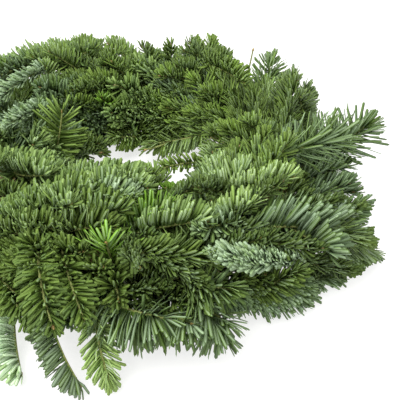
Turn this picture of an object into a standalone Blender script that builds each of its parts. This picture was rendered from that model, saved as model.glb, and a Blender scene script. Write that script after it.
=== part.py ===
"""Undecorated advent wreath: sprays of noble fir bound with one wire onto a quilted straw ring.

Metres, +Z up. The wreath lies flat and rests on the pressed underside of its straw ring, with the
origin on the surface under the middle of its outline. Run it with blender --background --python part.py.
"""

import math
import random

import bmesh
import bpy
import numpy as np
from mathutils import Vector

MM = 0.001

# Straw ring
RING_RADIUS = 130 * MM
STRAW_RADIUS = 20 * MM
STRAW_DIP = 1.5 * MM
STRAW_SIDES = 10
TURNS = 16
STATIONS_PER_TURN = 3
TURN_ANGLE = 2 * math.pi / TURNS
SIDE_ANGLE = 2 * math.pi / STRAW_SIDES
STRAW_HEIGHT = STRAW_RADIUS * math.cos(SIDE_ANGLE / 2)

# Clearances between touching pieces and over the surface that the wreath lies on
GAP = 0.3 * MM
FLOOR_GAP = 1.5 * MM
HOLE_RADIUS = 48 * MM

# Binding wire
WIRE_RADIUS = 0.35 * MM
WIRE_SEAT = STRAW_RADIUS - STRAW_DIP + GAP + WIRE_RADIUS
WIRE_BEND = math.radians(38)

# Shoots
STEM_RADIUS = 1.5 * MM
SIDE_RADIUS = 1.3 * MM
TIP_RADIUS = 1.1 * MM
STEM_SEAT = STRAW_RADIUS + GAP + STEM_RADIUS
WIRE_CREST = STEM_SEAT + (STEM_RADIUS + GAP + WIRE_RADIUS) / math.cos(WIRE_BEND)
TAIL = 14 * MM
BARE = 9 * MM
SIDE_BARE = 6 * MM
TIP_BARE = 4 * MM
MAIN_STEPS = 10
SIDE_STEPS = 4
LATE_TURN = 1.6
SIDE_LIFT = 0.14
STRAIGHTENING = 0.35
LOWEST_TWIG = 6 * MM
FLOOR_BEND = 12 * MM
SIDE_SHOOTS = 2

# Needles
NEEDLE_LENGTH = 22 * MM
NEEDLE_RADIUS = 0.7 * MM
NEEDLE_BASE = 1.6 * MM
WHORL_SPACING = 20.5 * MM
WHORL_TWIST = math.radians(60)
SPREAD = math.radians(56)
FREE_SHARE = 0.12
GREENS = ("#4F7A3A", "#3F6B35", "#5E8A3C", "#54795A", "#6B8F6A")

SPRAYS_PER_TURN = 3
SEED = 24

# Side shoots of a spray: where they leave the main shoot, as a share of its length, and their length in mm
FAN = ((0.2, 66), (0.36, 60), (0.5, 50), (0.64, 38))

# Where a spray is tied round the straw: degrees up from straight out, length ahead of the wire in mm,
# and how far its tip stands from the middle of the straw in mm
TIES = (
    ("outer_low", 0, 135, 74),
    ("outer_high", 36, 140, 80),
    ("top_outer", 72, 138, 68),
    ("top_inner", 108, 125, 62),
    ("inner_high", 144, 108, 60),
    ("inner_low", 180, 94, 54),
)

# Sprays whose tips are set by hand: degrees round the ring, degrees round the straw, mm from its middle
SET_TIPS = {
    0: (30, 12, 92),
    1: (60, 78, 56),
    3: (40, 32, 92),
    6: (84, 20, 84),
    7: (63, 64, 76),
    9: (118, 36, 76),
    11: (124, 178, 46),
    12: (132, 20, 84),
    13: (132, 60, 74),
    14: (152, 114, 60),
    15: (154, 44, 92),
    19: (178, 58, 70),
    20: (176, 160, 54),
    23: (216, 180, 50),
    24: (222, 3, 72),
    25: (137, 92, 56),
    26: (150, 136, 60),
    27: (251, 17, 76),
    28: (262, 112, 74),
    29: (258, 146, 68),
    30: (246, -7, 94),
    31: (257, -6, 96),
    32: (278, 128, 76),
    33: (262, -6, 93),
    34: (283, 4, 80),
    36: (306, 1, 74),
    37: (318, 22, 84),
    39: (323, 2, 92),
    40: (330, 84, 62),
    41: (342, 192, 50),
    42: (334, 12, 80),
    43: (285, 66, 60),
    44: (284, 136, 62),
    45: (354, 32, 97),
    46: (10, 52, 64),
    47: (337, 147, 68),
}

# Sprays that are one straight shoot with nothing growing from it
SINGLE = (3, 27, 30, 31, 33, 36, 42, 45, 47)


def material(name, colour, roughness):
    """A Principled material from an sRGB hex colour."""
    made = bpy.data.materials.new(name)
    made.use_nodes = True
    shader = made.node_tree.nodes["Principled BSDF"]
    channels = [int(colour[i : i + 2], 16) / 255 for i in (1, 3, 5)]
    linear = [c / 12.92 if c <= 0.04045 else ((c + 0.055) / 1.055) ** 2.4 for c in channels]
    shader.inputs["Base Color"].default_value = (*linear, 1)
    shader.inputs["Roughness"].default_value = roughness
    made.diffuse_color = (*linear, 1)
    return made


def tube_point(phi, psi, rho):
    """The point at phi round the ring, psi round the straw from straight out, and rho from its middle."""
    reach = RING_RADIUS + rho * math.cos(psi)
    height = STRAW_HEIGHT + rho * math.sin(psi)
    return Vector((reach * math.cos(phi), reach * math.sin(phi), height))


def outward(phi, psi):
    return Vector((math.cos(psi) * math.cos(phi), math.cos(psi) * math.sin(phi), math.sin(psi)))


def straw_ring():
    """A grid bent round into a ten-sided ring that the wire's turns press in, so it is quilted aslant.

    Its rows follow the wire. Between two turns the lowest side is a flat patch, which it rests on.
    """
    stations = TURNS * STATIONS_PER_TURN
    mesh = bpy.data.meshes.new("straw_ring")
    bm = bmesh.new()
    bmesh.ops.create_grid(bm, x_segments=stations, y_segments=STRAW_SIDES, size=0.5)
    for vert in bm.verts:
        station = round((vert.co.x + 0.5) * stations)
        side = round((vert.co.y + 0.5) * STRAW_SIDES)
        pressed = STRAW_DIP if station % STATIONS_PER_TURN == 0 else 0
        phi = (station / STATIONS_PER_TURN + side / STRAW_SIDES) * TURN_ANGLE
        vert.co = tube_point(phi, side * SIDE_ANGLE, STRAW_RADIUS - pressed)
    bmesh.ops.remove_doubles(bm, verts=bm.verts, dist=0.01 * MM)
    bmesh.ops.recalc_face_normals(bm, faces=bm.faces)
    bm.to_mesh(mesh)
    bm.free()
    return bpy.data.objects.new("straw_ring", mesh)


def tie_of(number):
    """(turn of the wire, row of TIES) that holds a spray: the rows alternate from turn to turn."""
    turn, place = divmod(number, SPRAYS_PER_TURN)
    return turn, TIES[2 * place + turn % 2]


def wire_points():
    """The wire's middle line: in the straw's dips, and taut over each stem, as one closed helix."""
    over = set()
    for number in range(TURNS * SPRAYS_PER_TURN):
        turn, tie = tie_of(number)
        over.add(turn * STRAW_SIDES + round(math.radians(tie[1]) / SIDE_ANGLE))
    points = []
    for step in range(TURNS * STRAW_SIDES):
        rho = WIRE_CREST if step in over else WIRE_SEAT
        points.append(tube_point(step / STRAW_SIDES * TURN_ANGLE, step * SIDE_ANGLE, rho))
    return points


def tube(name, points, radii, closed=False, section=None, twists=None):
    """A tube through the points, four-sided unless it has a section, as a mesh with its caps welded."""
    curve = bpy.data.curves.new(name, "CURVE")
    curve.dimensions = "3D"
    curve.bevel_depth = 1
    curve.bevel_resolution = 0
    if section:
        curve.bevel_mode = "OBJECT"
        curve.bevel_object = section
    curve.use_fill_caps = True
    spline = curve.splines.new("POLY")
    spline.points.add(len(points) - 1)
    for target, point, radius, twist in zip(spline.points, points, radii, twists or [0] * len(points)):
        target.co = (*point, 1)
        target.radius = radius
        target.tilt = twist
    spline.use_cyclic_u = closed
    guide = bpy.data.objects.new(name + "_guide", curve)
    bpy.context.scene.collection.objects.link(guide)
    graph = bpy.context.evaluated_depsgraph_get()
    mesh = bpy.data.meshes.new_from_object(guide.evaluated_get(graph))
    mesh.name = name
    bm = bmesh.new()
    bm.from_mesh(mesh)
    bmesh.ops.remove_doubles(bm, verts=bm.verts, dist=0.01 * MM)
    bmesh.ops.recalc_face_normals(bm, faces=bm.faces)
    bm.to_mesh(mesh)
    bm.free()
    made = bpy.data.objects.new(name, mesh)
    made.matrix_world = guide.matrix_world
    bpy.data.objects.remove(guide)
    bpy.data.curves.remove(curve)
    return made


def main_shoot(number, chance):
    """The middle line of a spray's main shoot, as points and the directions out of the straw there.

    It starts at its cut end behind the wire, lies on the straw, and rises from it to its tip.
    """
    turn, (_, tie, length, stand) = tie_of(number)
    psi = math.radians(tie)
    phi = (turn + psi / (2 * math.pi)) * TURN_ANGLE
    length *= chance.uniform(0.88, 1.1) * MM
    drift = math.radians(chance.uniform(-14, 14))
    stand *= chance.uniform(0.85, 1.1) * MM
    bow = chance.uniform(0.8, 1.25)
    tip_phi = phi + length / (RING_RADIUS + stand / 2 * math.cos(psi))
    tip_psi = psi + drift
    if number in SET_TIPS:
        around, across, away = SET_TIPS[number]
        tip_phi, tip_psi, stand = math.radians(around), math.radians(across), away * MM
    sweep = math.remainder(tip_phi - phi, 2 * math.pi)
    way = math.copysign(1, sweep)
    reach = RING_RADIUS + STEM_SEAT * math.cos(psi)
    ahead = [way * BARE / reach + (sweep - way * BARE / reach) * i / MAIN_STEPS for i in range(MAIN_STEPS + 1)]
    points, outs = [], []
    for run in [-way * TAIL / reach, 0] + ahead:
        share = max(0, (run - ahead[0]) / (sweep - ahead[0]))
        across = psi + (tip_psi - psi) * share**LATE_TURN
        rho = STEM_SEAT + (stand - STEM_SEAT) * share**bow
        points.append(tube_point(phi + run, across, rho))
        outs.append(outward(phi + run, across))
    return points, outs


def at_run(points, outs, run):
    """The point at a run along a line, the direction there, and the direction out of the straw there."""
    index = 0
    while index < len(points) - 2 and run > (points[index + 1] - points[index]).length:
        run -= (points[index + 1] - points[index]).length
        index += 1
    step = points[index + 1] - points[index]
    share = run / step.length
    return points[index] + step * share, step.normalized(), outs[index].lerp(outs[index + 1], share).normalized()


def length_of(points):
    return sum((b - a).length for a, b in zip(points, points[1:]))


def side_shoots(main, outs, chance):
    """The side shoots of a main shoot: in one flat fan, left and right in turn, shorter to the tip.

    Each bends towards the main shoot's direction, and lies along the surface where it would sink into it.
    """
    made = []
    side = chance.choice((-1, 1))
    for where, reach in FAN:
        where += chance.uniform(-0.03, 0.03)
        angle = side * math.radians(chance.uniform(32, 50))
        length = reach * chance.uniform(0.85, 1.15) * MM
        base, along, out = at_run(main, outs, where * length_of(main))
        across = out.cross(along).normalized()
        points = []
        for step in range(SIDE_STEPS + 1):
            share = step / SIDE_STEPS
            bend = angle * (1 - STRAIGHTENING * share)
            run = (along * math.cos(bend) + across * math.sin(bend) + out * SIDE_LIFT) * length * share
            point = base + run
            if step and point.z < LOWEST_TWIG + FLOOR_BEND:
                point.z = LOWEST_TWIG + FLOOR_BEND * math.exp((point.z - LOWEST_TWIG - FLOOR_BEND) / FLOOR_BEND)
            points.append(point)
        made.append((points, [out] * len(points)))
        side = -side
    return made


class Clearance:
    """Every straight run of wire, shoot and needle placed so far, with its radius and its piece."""

    def __init__(self):
        self.starts, self.ends = np.empty((0, 3)), np.empty((0, 3))
        self.radii, self.owners = np.empty(0), np.empty(0, int)

    def add(self, points, radii, owner):
        self.starts = np.vstack([self.starts, points[:-1]])
        self.ends = np.vstack([self.ends, points[1:]])
        self.radii = np.append(self.radii, np.maximum(radii[:-1], radii[1:]))
        self.owners = np.append(self.owners, [owner] * (len(points) - 1))

    def is_clear(self, start, end, radius, owner):
        """Whether a run with this radius keeps its gap to other pieces, the straw, the hole and the floor."""
        if min(start.z, end.z) < radius + FLOOR_GAP:
            return False
        for share in (0, 0.25, 0.5, 0.75, 1):
            point = start.lerp(end, share)
            middle = math.hypot(point.x, point.y)
            from_straw = math.hypot(middle - RING_RADIUS, point.z - STRAW_HEIGHT)
            if middle < HOLE_RADIUS or from_straw < STRAW_RADIUS + GAP + radius:
                return False
        gaps = run_gaps(start, end, self.starts, self.ends) - self.radii
        return not ((gaps < radius + GAP) & (self.owners != owner)).any()


def run_gaps(start, end, starts, ends):
    """The shortest distance from one straight run to each of many."""
    a, u = np.array(start), np.array(end - start)
    v = ends - starts
    w = a - starts
    uu, uv, vv = u @ u, v @ u, (v * v).sum(1)
    uw, vw = w @ u, (v * w).sum(1)
    spread = np.maximum(uu * vv - uv * uv, 1e-18)
    s = np.clip((uv * vw - vv * uw) / spread, 0, 1)
    t = np.clip((uv * s + vw) / vv, 0, 1)
    s = np.clip((uv * t - uw) / uu, 0, 1)
    apart = w + np.outer(s, u) - v * t[:, None]
    return np.sqrt((apart * apart).sum(1))


class Shoot:
    """The rings of a shoot's tube: its ends, where it lies on the straw, and a close pair at each whorl.

    The whorls of needles are spaced evenly, and each is turned from the one before.
    """

    def __init__(self, points, outs, thickest, bare, laid=()):
        total = length_of(points)
        count = round((total - bare) / WHORL_SPACING)
        rings = [(run, 0) for run in (0, *laid)]
        self.whorls = []
        for whorl in range(count):
            middle = bare + (total - TIP_BARE - bare) * (whorl + 0.5) / count
            self.whorls.append(at_run(points, outs, middle)[:2])
            for side in (-0.5, 0.5):
                rings.append((middle + side * NEEDLE_BASE, (whorl + 1) * WHORL_TWIST))
        rings.append((total, count * WHORL_TWIST))
        self.points = [at_run(points, outs, run)[0] for run, _ in rings]
        self.outs = [at_run(points, outs, run)[2] for run, _ in rings]
        self.radii = [thickest + (TIP_RADIUS - thickest) * run / total for run, _ in rings]
        self.twists = [twist for _, twist in rings]

    def free_runs(self):
        """Its straight runs, without the root that is sunk in what it grows from."""
        free = [self.points[0].lerp(self.points[1], FREE_SHARE)] + self.points[1:]
        return zip(free, free[1:], self.radii)


def three_sided():
    """The outline of a shoot's section, as a guide for its tube."""
    curve = bpy.data.curves.new("section", "CURVE")
    spline = curve.splines.new("POLY")
    spline.points.add(2)
    for i, point in enumerate(spline.points):
        angle = -i * 2 * math.pi / 3
        point.co = (math.cos(angle), math.sin(angle), 0, 1)
    spline.use_cyclic_u = True
    section = bpy.data.objects.new("section", curve)
    section.hide_render = True
    bpy.context.scene.collection.objects.link(section)
    return section


def grow_needles(bm, shoot, owner, clearance, chance):
    """Pulls the middle of each short side of a whorl, and of the end, out into a needle where it is clear."""
    ends = [(middle, along, SPREAD) for middle, along in shoot.whorls]
    ends.append((shoot.points[-1], (shoot.points[-1] - shoot.points[-2]).normalized(), 0))
    for middle, along, lean in ends:
        for face in list(bm.faces):
            root = face.calc_center_median()
            across = abs(face.normal.dot(along)) < 0.5
            if (root - middle).length > NEEDLE_BASE or across != (lean > 0):
                continue
            towards = along * math.cos(lean) + face.normal * math.sin(lean)
            full = NEEDLE_LENGTH * chance.uniform(0.88, 1.06)
            for length in (full, full * 0.8, full * 0.6):
                tip = root + towards * length
                if clearance.is_clear(root, tip, NEEDLE_RADIUS, owner):
                    clearance.add([root, tip], [NEEDLE_RADIUS] * 2, owner)
                    grown = bmesh.ops.poke(bm, faces=[face])
                    grown["verts"][0].co = tip
                    break


def needled_shoot(name, shoot, section, owner, clearance, chance):
    """One shoot with its needles, as an object."""
    made = tube(name, shoot.points, shoot.radii, section=section, twists=shoot.twists)
    bm = bmesh.new()
    bm.from_mesh(made.data)
    grow_needles(bm, shoot, owner, clearance, chance)
    bmesh.ops.triangulate(bm, faces=bm.faces)
    bm.to_mesh(made.data)
    bm.free()
    return made


def fused(name, main, branches):
    """One object from a main shoot and what grows from it, by one Boolean union on a collection."""
    growing = bpy.data.collections.new(name + "_growing")
    bpy.context.scene.collection.children.link(growing)
    for branch in branches:
        growing.objects.link(branch)
    bpy.context.scene.collection.objects.link(main)
    union = main.modifiers.new("Grown together", "BOOLEAN")
    union.operand_type = "COLLECTION"
    union.collection = growing
    union.operation = "UNION"
    graph = bpy.context.evaluated_depsgraph_get()
    mesh = bpy.data.meshes.new_from_object(main.evaluated_get(graph))
    mesh.name = name
    main.modifiers.clear()
    main.data = mesh
    main.name = name
    bpy.context.scene.collection.objects.unlink(main)
    for branch in branches:
        bpy.data.objects.remove(branch)
    bpy.data.collections.remove(growing)
    return main


def centre(nodes):
    """Moves the nodes so that the origin lies under the middle of the outline of them all."""
    corners = np.array([vert.co for node in nodes for vert in node.data.vertices])
    middle = (corners.min(0) + corners.max(0)) / 2
    for node in nodes:
        for vert in node.data.vertices:
            vert.co -= Vector((middle[0], middle[1], 0))


def main():
    for old in list(bpy.data.objects):
        bpy.data.objects.remove(old)
    parts = bpy.data.collections.new("advent_wreath")
    bpy.context.scene.collection.children.link(parts)

    clearance = Clearance()
    wire = wire_points()
    clearance.add(wire + wire[:1], [WIRE_RADIUS] * (len(wire) + 1), -1)
    sprays = []
    for number in range(TURNS * SPRAYS_PER_TURN):
        chance = random.Random(SEED * 1000 + number)
        shoot = Shoot(*main_shoot(number, chance), STEM_RADIUS, TAIL + BARE, laid=(TAIL, TAIL + BARE / 2))
        clearance.add(shoot.points, shoot.radii, number)
        sprays.append((number, chance, [shoot]))
    for number, chance, shoots in sprays:
        if number in SINGLE:
            continue
        for line, outs in side_shoots(shoots[0].points, shoots[0].outs, chance):
            shoot = Shoot(line, outs, SIDE_RADIUS, SIDE_BARE)
            clear = all(clearance.is_clear(a, b, radius, number) for a, b, radius in shoot.free_runs())
            if clear and len(shoots) <= SIDE_SHOOTS:
                clearance.add(shoot.points, shoot.radii, number)
                shoots.append(shoot)

    straw = straw_ring()
    straw.data.materials.append(material("dry straw", "#B79B62", 0.8))
    binding = tube("binding_wire", wire, [WIRE_RADIUS] * len(wire), closed=True)
    binding.data.materials.append(material("lacquered iron wire", "#3E4A36", 0.4))
    for node in (straw, binding):
        parts.objects.link(node)
    greens = [material(f"noble fir {i + 1}", colour, 0.55) for i, colour in enumerate(GREENS)]
    section = three_sided()
    for number, chance, shoots in sprays:
        name = f"spray_{number + 1:02d}"
        grown = [needled_shoot(name + "_shoot", shoot, section, number, clearance, chance) for shoot in shoots]
        node = fused(name, grown[0], grown[1:])
        node.data.materials.clear()
        node.data.materials.append(chance.choice(greens))
        parts.objects.link(node)
    bpy.data.objects.remove(section)
    centre(parts.objects)


if __name__ == "__main__":
    main()
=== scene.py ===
"""Undecorated advent wreath: noble fir bound on a straw ring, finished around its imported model.

Metres, +Z up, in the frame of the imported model. Each spray keeps the twigs of the spray that it stands for,
and Geometry Nodes set the needles on them. The straw stalks and the wire are rods laid along their own paths.
"""

import math
import random
from functools import partial

import bmesh
import bpy
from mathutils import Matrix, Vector


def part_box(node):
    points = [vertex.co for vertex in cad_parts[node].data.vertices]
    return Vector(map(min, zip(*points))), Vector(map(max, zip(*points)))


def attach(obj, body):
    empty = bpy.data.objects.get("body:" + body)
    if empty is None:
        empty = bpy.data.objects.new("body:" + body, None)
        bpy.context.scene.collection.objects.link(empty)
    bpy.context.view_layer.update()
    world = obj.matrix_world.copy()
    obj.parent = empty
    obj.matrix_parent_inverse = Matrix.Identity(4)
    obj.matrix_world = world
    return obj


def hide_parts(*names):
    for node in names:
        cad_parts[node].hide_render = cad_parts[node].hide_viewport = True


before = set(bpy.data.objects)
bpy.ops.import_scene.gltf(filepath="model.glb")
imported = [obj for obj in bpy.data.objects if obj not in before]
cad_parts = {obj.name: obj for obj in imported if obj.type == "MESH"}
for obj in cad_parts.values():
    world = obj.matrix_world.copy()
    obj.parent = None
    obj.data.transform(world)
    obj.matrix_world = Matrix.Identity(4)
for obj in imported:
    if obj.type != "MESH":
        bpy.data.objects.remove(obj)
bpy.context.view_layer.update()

bl_info = {
    "name": "Noble Fir Wreath",
    "version": (1, 0, 0),
    "blender": (4, 5, 0),
    "location": "3D View > Sidebar > Wreath",
    "description": "Sprays of noble fir bound with wire onto a straw ring",
    "category": "Add Mesh",
}

MM = 0.001

# Straw ring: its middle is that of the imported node's own box. Its section has flat sides, and each turn of the wire
# presses it in
STRAW_LOW, STRAW_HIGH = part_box("straw_ring")
RING_MIDDLE = Vector(((STRAW_LOW.x + STRAW_HIGH.x) / 2, (STRAW_LOW.y + STRAW_HIGH.y) / 2, 0))
RING_RADIUS = 130 * MM
STRAW_RADIUS = 20 * MM
STRAW_DIP = 1.5 * MM
STRAW_SIDES = 10
TURNS = 16
TURN_ANGLE = 2 * math.pi / TURNS
SIDE_ANGLE = 2 * math.pi / STRAW_SIDES
STRAW_HEIGHT = STRAW_RADIUS * math.cos(SIDE_ANGLE / 2)
GAP = 0.3 * MM
PRESSED_WIDTH = 5 * MM
CORE_DEPTH = 0.4 * MM
CORE_FLOOR = 0.2 * MM
CORE_STEPS, CORE_SIDES = TURNS * 12, 36
CORE_TONE = 0.3

# Stalks of the ring: how many, their steps, how far they run round it and aslant, their radius in mm, and how far
# and from where on an end may stand off
STALKS, STALK_STEPS = 300, 8
STALK_SWEEPS, STALK_SLANTS, STALK_RADII = (0.35, 0.8), (-0.3, 0.3), (0.7, 1.2)
LOOSE_HEIGHT, LOOSE_FROM = 2.5, 0.85
STALK_SMOOTH, STALK_SIDES = 8 * MM, 5

# Binding wire
WIRE_RADIUS = 0.35 * MM
LOWEST_WIRE = 1.2 * MM
WIRE_SEAT = STRAW_RADIUS - STRAW_DIP + GAP + WIRE_RADIUS
WIRE_BEND = math.radians(38)
WIRE_SMOOTH, WIRE_SIDES = 2.5 * MM, 8

# Twigs of a spray
STEM_RADIUS = 1.5 * MM
SIDE_RADIUS = 1.2 * MM
TIP_RADIUS = 0.8 * MM
STEM_SEAT = STRAW_RADIUS + GAP + STEM_RADIUS
WIRE_CREST = STEM_SEAT + (STEM_RADIUS + GAP + WIRE_RADIUS) / math.cos(WIRE_BEND)
TAIL = 14 * MM
BARE = 9 * MM
SIDE_BARE = 6 * MM
FILLING_BARE = 2 * MM
TIP_BARE = 4 * MM
MAIN_STEPS = 10
SIDE_STEPS = 4
LATE_TURN = 1.6
SIDE_LIFT = 0.14
STRAIGHTENING = 0.35
LOWEST_TWIG = 6 * MM
FLOOR_BEND = 12 * MM
BRANCH_STEPS = 6
BOW_AT, BOW_RISE = 0.4, 0.12
WHORL_SPACING = 20.5 * MM
WHORL_HALF = 0.8 * MM
SPRAYS_PER_TURN = 3
SEED = 24

# How main shoots differ: in length, in stand, in the drift of their tips in degrees, and in how they rise
MAIN_LENGTHS, MAIN_STANDS, MAIN_DRIFTS, MAIN_RISES = (0.88, 1.1), (0.85, 1.1), (-14, 14), (0.8, 1.25)

# How side shoots differ: in where they leave the main shoot, in their angle in degrees, in length and in lightness
SHOOT_PLACES, SHOOT_ANGLES, SHOOT_LENGTHS, SHOOT_SHADES = (-0.03, 0.03), (32, 50), (0.85, 1.15), (0.92, 1.08)

# Side shoots of a spray: where they leave the main shoot, as a share of its length, and their length in mm
FAN = ((0.2, 66), (0.36, 60), (0.5, 50), (0.64, 38))

# Where a spray is tied round the straw, from low on the outside over the top to low on the inside: degrees up from
# straight out, length ahead of the wire in mm, and how far its tip stands from the middle of the straw in mm
TIES = (
    (0, 135, 74),
    (36, 140, 80),
    (72, 138, 68),
    (108, 125, 62),
    (144, 108, 60),
    (180, 94, 54),
)

# Sprays whose tips are given: degrees round the ring, degrees round the straw, mm from its middle
SET_TIPS = {
    0: (30, 12, 92),
    1: (60, 78, 56),
    3: (40, 32, 92),
    6: (84, 20, 84),
    7: (63, 64, 76),
    9: (118, 36, 76),
    11: (124, 178, 46),
    12: (132, 20, 84),
    13: (132, 60, 74),
    14: (152, 114, 60),
    15: (154, 44, 92),
    19: (178, 58, 70),
    20: (176, 160, 54),
    23: (216, 180, 50),
    24: (222, 3, 72),
    25: (137, 92, 56),
    26: (150, 136, 60),
    27: (251, 17, 76),
    28: (262, 112, 74),
    29: (258, 146, 68),
    30: (246, -7, 94),
    31: (257, -6, 96),
    32: (278, 128, 76),
    33: (262, -6, 93),
    34: (283, 4, 80),
    36: (306, 1, 74),
    37: (318, 22, 84),
    39: (323, 2, 92),
    40: (330, 84, 62),
    41: (342, 192, 50),
    42: (334, 12, 80),
    43: (285, 66, 60),
    44: (284, 136, 62),
    45: (354, 32, 97),
    46: (10, 52, 64),
    47: (337, 147, 68),
}

# Sprays that are one straight shoot with nothing growing from it
SINGLE = (3, 27, 30, 31, 33, 36, 42, 45, 47)

# Sprays that have only their first two side shoots
LEAN = (0, 7, 34, 43, 46)

# How the needles of a twig grow: tone from blue to yellow, lightness, how far they sweep to one side,
# how far they stand round the twig, their length, their angle to the twig in degrees, their width,
# the share of them that stands all round whatever the sweep, and the share of them that grows.
# The lightness is partly painted light and shade: it is raised on twigs where the wreath is lit, such as
# finger and brush, and lowered on those in its shade, such as shade_comb, deep_comb and short_dark
HABITS = {
    "grey_comb": (0.44, 1.42, 1.1, 0.5, 1.00, 70, 1.45, 0.15, 0.74),
    "pale_tuft": (0.25, 1.70, 0.5, 0.7, 0.85, 60, 1.4, 0.2, 0.78),
    "olive_comb": (0.62, 0.92, 1.0, 0.8, 0.86, 66, 1.1, 0.25, 0.86),
    "yellow_comb": (0.60, 1.50, 1.0, 0.6, 0.95, 66, 1.35, 0.2, 0.74),
    "dark_comb": (0.50, 0.75, 1.0, 0.8, 0.80, 62, 1.1, 0.25, 0.88),
    "blue_comb": (0.22, 1.00, 0.8, 0.7, 0.95, 58, 1.25, 0.2, 0.76),
    "grey_flat": (0.36, 1.00, 0.15, 0.4, 1.10, 62, 1.3, 0.1, 0.72),
    "wide_fan": (0.20, 0.94, 1.1, 0.6, 1.30, 68, 1.65, 0.1, 0.68),
    "fringe": (0.28, 0.90, 1.2, 0.5, 1.32, 80, 1.3, 0.3, 0.88),
    "hanging": (0.20, 1.05, 1.2, 0.5, 0.85, 76, 1.2, 0.3, 0.9),
    "dark_hanging": (0.36, 0.82, 1.2, 0.5, 1.00, 76, 1.2, 0.3, 0.86),
    "brush": (0.18, 1.88, 0.15, 0.8, 0.90, 24, 1.4, 0.2, 0.74),
    "fan_mid": (0.52, 1.00, 0.3, 0.8, 1.00, 60, 1.1, 0.2, 0.82),
    "bright_tuft": (0.95, 0.78, 0.4, 0.8, 0.95, 55, 1.15, 0.1, 0.7),
    "flat_yellow": (0.58, 1.12, 0.1, 0.2, 1.45, 62, 1.1, 0, 0.58),
    "flat_mid": (0.46, 0.86, 0.1, 0.4, 0.85, 64, 1.15, 0.1, 0.74),
    "feather": (0.28, 1.08, 0.2, 0.5, 1.45, 66, 1.45, 0, 0.76),
    "finger": (0.16, 2.60, 1.1, 0.4, 0.92, 86, 1.3, 0, 0.8),
    "deep_finger": (0.22, 0.74, 1.1, 0.5, 0.80, 86, 1.3, 0, 0.9),
    "slim": (0.62, 1.62, 0.1, 0.3, 0.72, 62, 1.1, 0, 0.82),
    "sprig": (0.62, 1.00, 0.1, 0.3, 0.50, 60, 1, 0, 0.72),
    "bright_flat": (0.95, 0.80, 0.1, 0.4, 0.65, 58, 1.15, 0.1, 0.6),
    "short_dark": (0.42, 0.68, 1.0, 0.8, 0.52, 60, 1.1, 0.3, 0.88),
    "bright_fan": (0.95, 0.92, 0.6, 0.6, 1.25, 70, 1.25, 0, 0.55),
    "top_sprig": (0.34, 1.15, 0.2, 0.4, 1.08, 60, 1.35, 0, 0.8),
    "mid_comb": (0.54, 0.72, 1.0, 0.8, 0.90, 66, 1.25, 0.2, 0.78),
    # Painted shade: grey_comb with its lightness lowered where it lies in shade
    "shade_comb": (0.44, 1.00, 1.1, 0.5, 1.00, 70, 1.45, 0.15, 0.74),
    "deep_comb": (0.42, 0.60, 1.0, 0.8, 0.62, 60, 1.1, 0.3, 0.88),
    "bare_stick": (0.5, 0.6, 0, 0, 0.5, 60, 1, 0, 0),
}

HABIT_KEYS = ("tone", "light", "lift", "fullness", "long", "spread", "broad", "around", "kept")

# Sprays of one habit throughout
PLAIN = {
    "olive_comb": (1, 6, 7, 9, 12, 13, 25, 32, 35),
    "grey_comb": (22, 23, 28, 29),
    "dark_comb": (0, 10, 46),
    "blue_comb": (26, 42),
    "brush": (16,),
    "fan_mid": (47,),
}

# Habits of the other sprays: that of the main shoot, the side that its needles sweep to (up where none is given),
# that of the side shoots and of the start of the main shoot, and the run in mm at which the first takes over
LOOKS = {
    **{number: (habit,) for habit, numbers in PLAIN.items() for number in numbers},
    3: ("top_sprig", (0, -0.7, 0.8)),
    27: ("flat_mid", (0, -0.6, 0.8)),
    30: ("finger", (-1, 0, 0.5), "flat_mid", 40),
    31: ("deep_finger", (-1, -0.1, 0.4), "flat_mid", 128),
    33: ("slim", (0, -0.6, 0.8), "olive_comb", 56),
    34: ("fringe", (0, -0.9, -0.6), "short_dark", 136),
    36: ("hanging", (0.1, -1, -0.3), "dark_hanging", 0),
    37: ("wide_fan", (0.5, 0.5, 1), "deep_comb", 96),
    39: ("dark_hanging", (0.1, -1, -0.6), "deep_comb", 90),
    40: ("grey_flat", (0.2, -0.5, 1), "olive_comb", 0),
    43: ("pale_tuft", None, "deep_comb", 0),
    44: ("bright_flat", (0, -0.5, 1), "sprig", 62),
    45: ("feather", (0, -0.4, 1)),
}

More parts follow.
